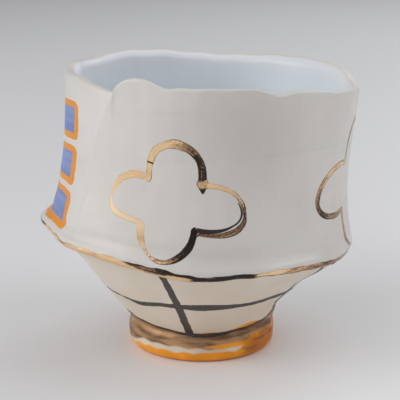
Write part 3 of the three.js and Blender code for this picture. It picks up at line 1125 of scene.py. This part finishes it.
def porcelain():
    """Satin glaze with fired-on gold, black, bronze, orange and blue."""
    material = bpy.data.materials.new("porcelain")
    material.use_nodes = True
    nodes = Finish(material.node_tree)
    colour, bronze = bronze_paint(nodes, clay_colour(nodes))
    colour, orange = orange_paint(nodes, colour)
    bronze = nodes.times(bronze, nodes.less(1.0, orange))
    black = nodes.painted("black", nodes.edge)
    colour = nodes.mix(black, colour, nodes.mix(nodes.soft(nodes.grain, 0.4, 0.7), BLACK, BLACK_THIN))
    colour, tiles = tile_paint(nodes, colour)
    colour, gold, pale_painted_highlight = gold_paint(nodes, colour)

    clouds = nodes.soft(nodes.broad, 0.3, 0.7)
    rough = nodes.between(clouds, *GLAZE_ROUGH)
    rough = nodes.between(nodes.bare, rough, BARE_ROUGH)
    rough = nodes.between(black, rough, BLACK_ROUGH)
    rough = nodes.between(bronze, rough, BRONZE_ROUGH)
    rough = nodes.between(gold, rough, nodes.between(clouds, *GOLD_ROUGH))
    gold_metal = nodes.times(gold, nodes.between(pale_painted_highlight, GOLD_METAL, GOLD_PALE_METAL))
    matt = nodes.larger(tiles, nodes.larger(orange, bronze))
    pitted = nodes.plus(nodes.noise(nodes.spot, PIT_SCALE, 3.0), nodes.times(nodes.grain, 0.3))
    bump = nodes.add("ShaderNodeBump", {
        "Height": pitted,
        "Strength": nodes.between(gold, GLAZE_PITS, GOLD_PITS),
        "Distance": PIT_DEPTH,
    })
    shader = nodes.add("ShaderNodeBsdfPrincipled", {
        "Base Color": colour,
        "Metallic": nodes.larger(gold_metal, nodes.times(bronze, BRONZE_METAL)),
        "Roughness": rough,
        "Specular IOR Level": nodes.between(matt, GLAZE_SPECULAR, MATT_SPECULAR),
        "Normal": bump.outputs[0],
    })
    nodes.add("ShaderNodeOutputMaterial", {"Surface": shader.outputs[0]})
    return material


# Studio, in metres, with the camera's sensor in millimetres
FLOOR_HALF = 5.0
CAMERA_PLACE = (0.0006, -0.430, 0.160)
CAMERA_AIM = (0.0006, 0.0, 0.050)
SENSOR = 36.0
FOCAL_PIXELS = 1290.0
IMAGE_PIXELS = 400.0
AMBIENT = (1.0, 1.0, 1.0)
AMBIENT_STRENGTH = 0.243
# Soft boxes: place, aim, side, watts and colour
SOFT_BOXES = [
    ((-1.00, -0.36, 0.75), (0.0, 0.0, 0.05), 0.9, 5.6, (1.0, 1.0, 1.0)),
    ((-0.53, -0.92, 0.75), (0.0, 0.0, 0.05), 0.9, 2.3, (1.0, 1.0, 1.0)),
    ((1.05, -0.18, 0.75), (0.0, 0.0, 0.05), 0.9, 5.2, (1.0, 1.0, 1.0)),
    ((0.53, 0.92, 0.75), (0.0, 0.0, 0.05), 0.9, 2.5, (0.95, 0.98, 1.0)),
    ((-1.22, -0.21, 0.40), (0.0, 0.0, 0.05), 0.7, 2.1, (1.0, 1.0, 1.0)),
    ((0.25, 0.50, 1.60), (0.25, 0.3, 0.0), 1.3, 2.85, (0.96, 0.98, 1.0)),
    ((0.80, 1.40, 1.10), (0.5, 1.2, 0.0), 0.8, 0.7, (0.92, 0.97, 1.0)),
]


def face(thing, aim):
    """Turns a lamp or camera towards a point."""
    look = Vector(aim) - thing.location
    thing.rotation_euler = look.to_track_quat("-Z", "Y").to_euler()


def make_floor():
    """A wide pale floor."""
    sides = ((-1, -1), (1, -1), (1, 1), (-1, 1))
    corners = [(x * FLOOR_HALF, y * FLOOR_HALF, 0) for x, y in sides]
    mesh = bpy.data.meshes.new("floor")
    mesh.from_pydata(corners, [], [(0, 1, 2, 3)])
    floor = bpy.data.objects.new("floor", mesh)
    bpy.context.collection.objects.link(floor)
    material = bpy.data.materials.new("floor_paper")
    material.use_nodes = True
    nodes = Nodes(material.node_tree)
    shader = nodes.add("ShaderNodeBsdfPrincipled", {"Base Color": FLOOR_COLOUR, "Roughness": FLOOR_ROUGH})
    nodes.add("ShaderNodeOutputMaterial", {"Surface": shader.outputs[0]})
    mesh.materials.append(material)
    return floor


def make_studio():
    """Soft lights, dim surroundings and the camera."""
    scene = bpy.context.scene
    scene.view_settings.view_transform = "Standard"
    world = bpy.data.worlds.new("studio")
    world.use_nodes = True
    nodes = Nodes(world.node_tree)
    ambient = nodes.add("ShaderNodeBackground", {"Color": AMBIENT, "Strength": AMBIENT_STRENGTH})
    nodes.add("ShaderNodeOutputWorld", {"Surface": ambient.outputs[0]})
    scene.world = world
    for index, (at, aim, side, watts, colour) in enumerate(SOFT_BOXES):
        light = bpy.data.lights.new(f"soft_box_{index}", "AREA")
        light.size = side
        light.energy = watts
        light.color = colour
        lamp = bpy.data.objects.new(f"soft_box_{index}", light)
        lamp.location = at
        face(lamp, aim)
        bpy.context.collection.objects.link(lamp)
    lens = bpy.data.cameras.new("camera")
    lens.sensor_width = SENSOR
    lens.lens = SENSOR * FOCAL_PIXELS / IMAGE_PIXELS
    camera = bpy.data.objects.new("camera", lens)
    camera.location = CAMERA_PLACE
    face(camera, CAMERA_AIM)
    bpy.context.collection.objects.link(camera)
    scene.camera = camera


cup_body = make_cup()
cup_body.data.materials.append(porcelain())
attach(cup_body, "root")
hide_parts("cup")
make_floor()
make_studio()
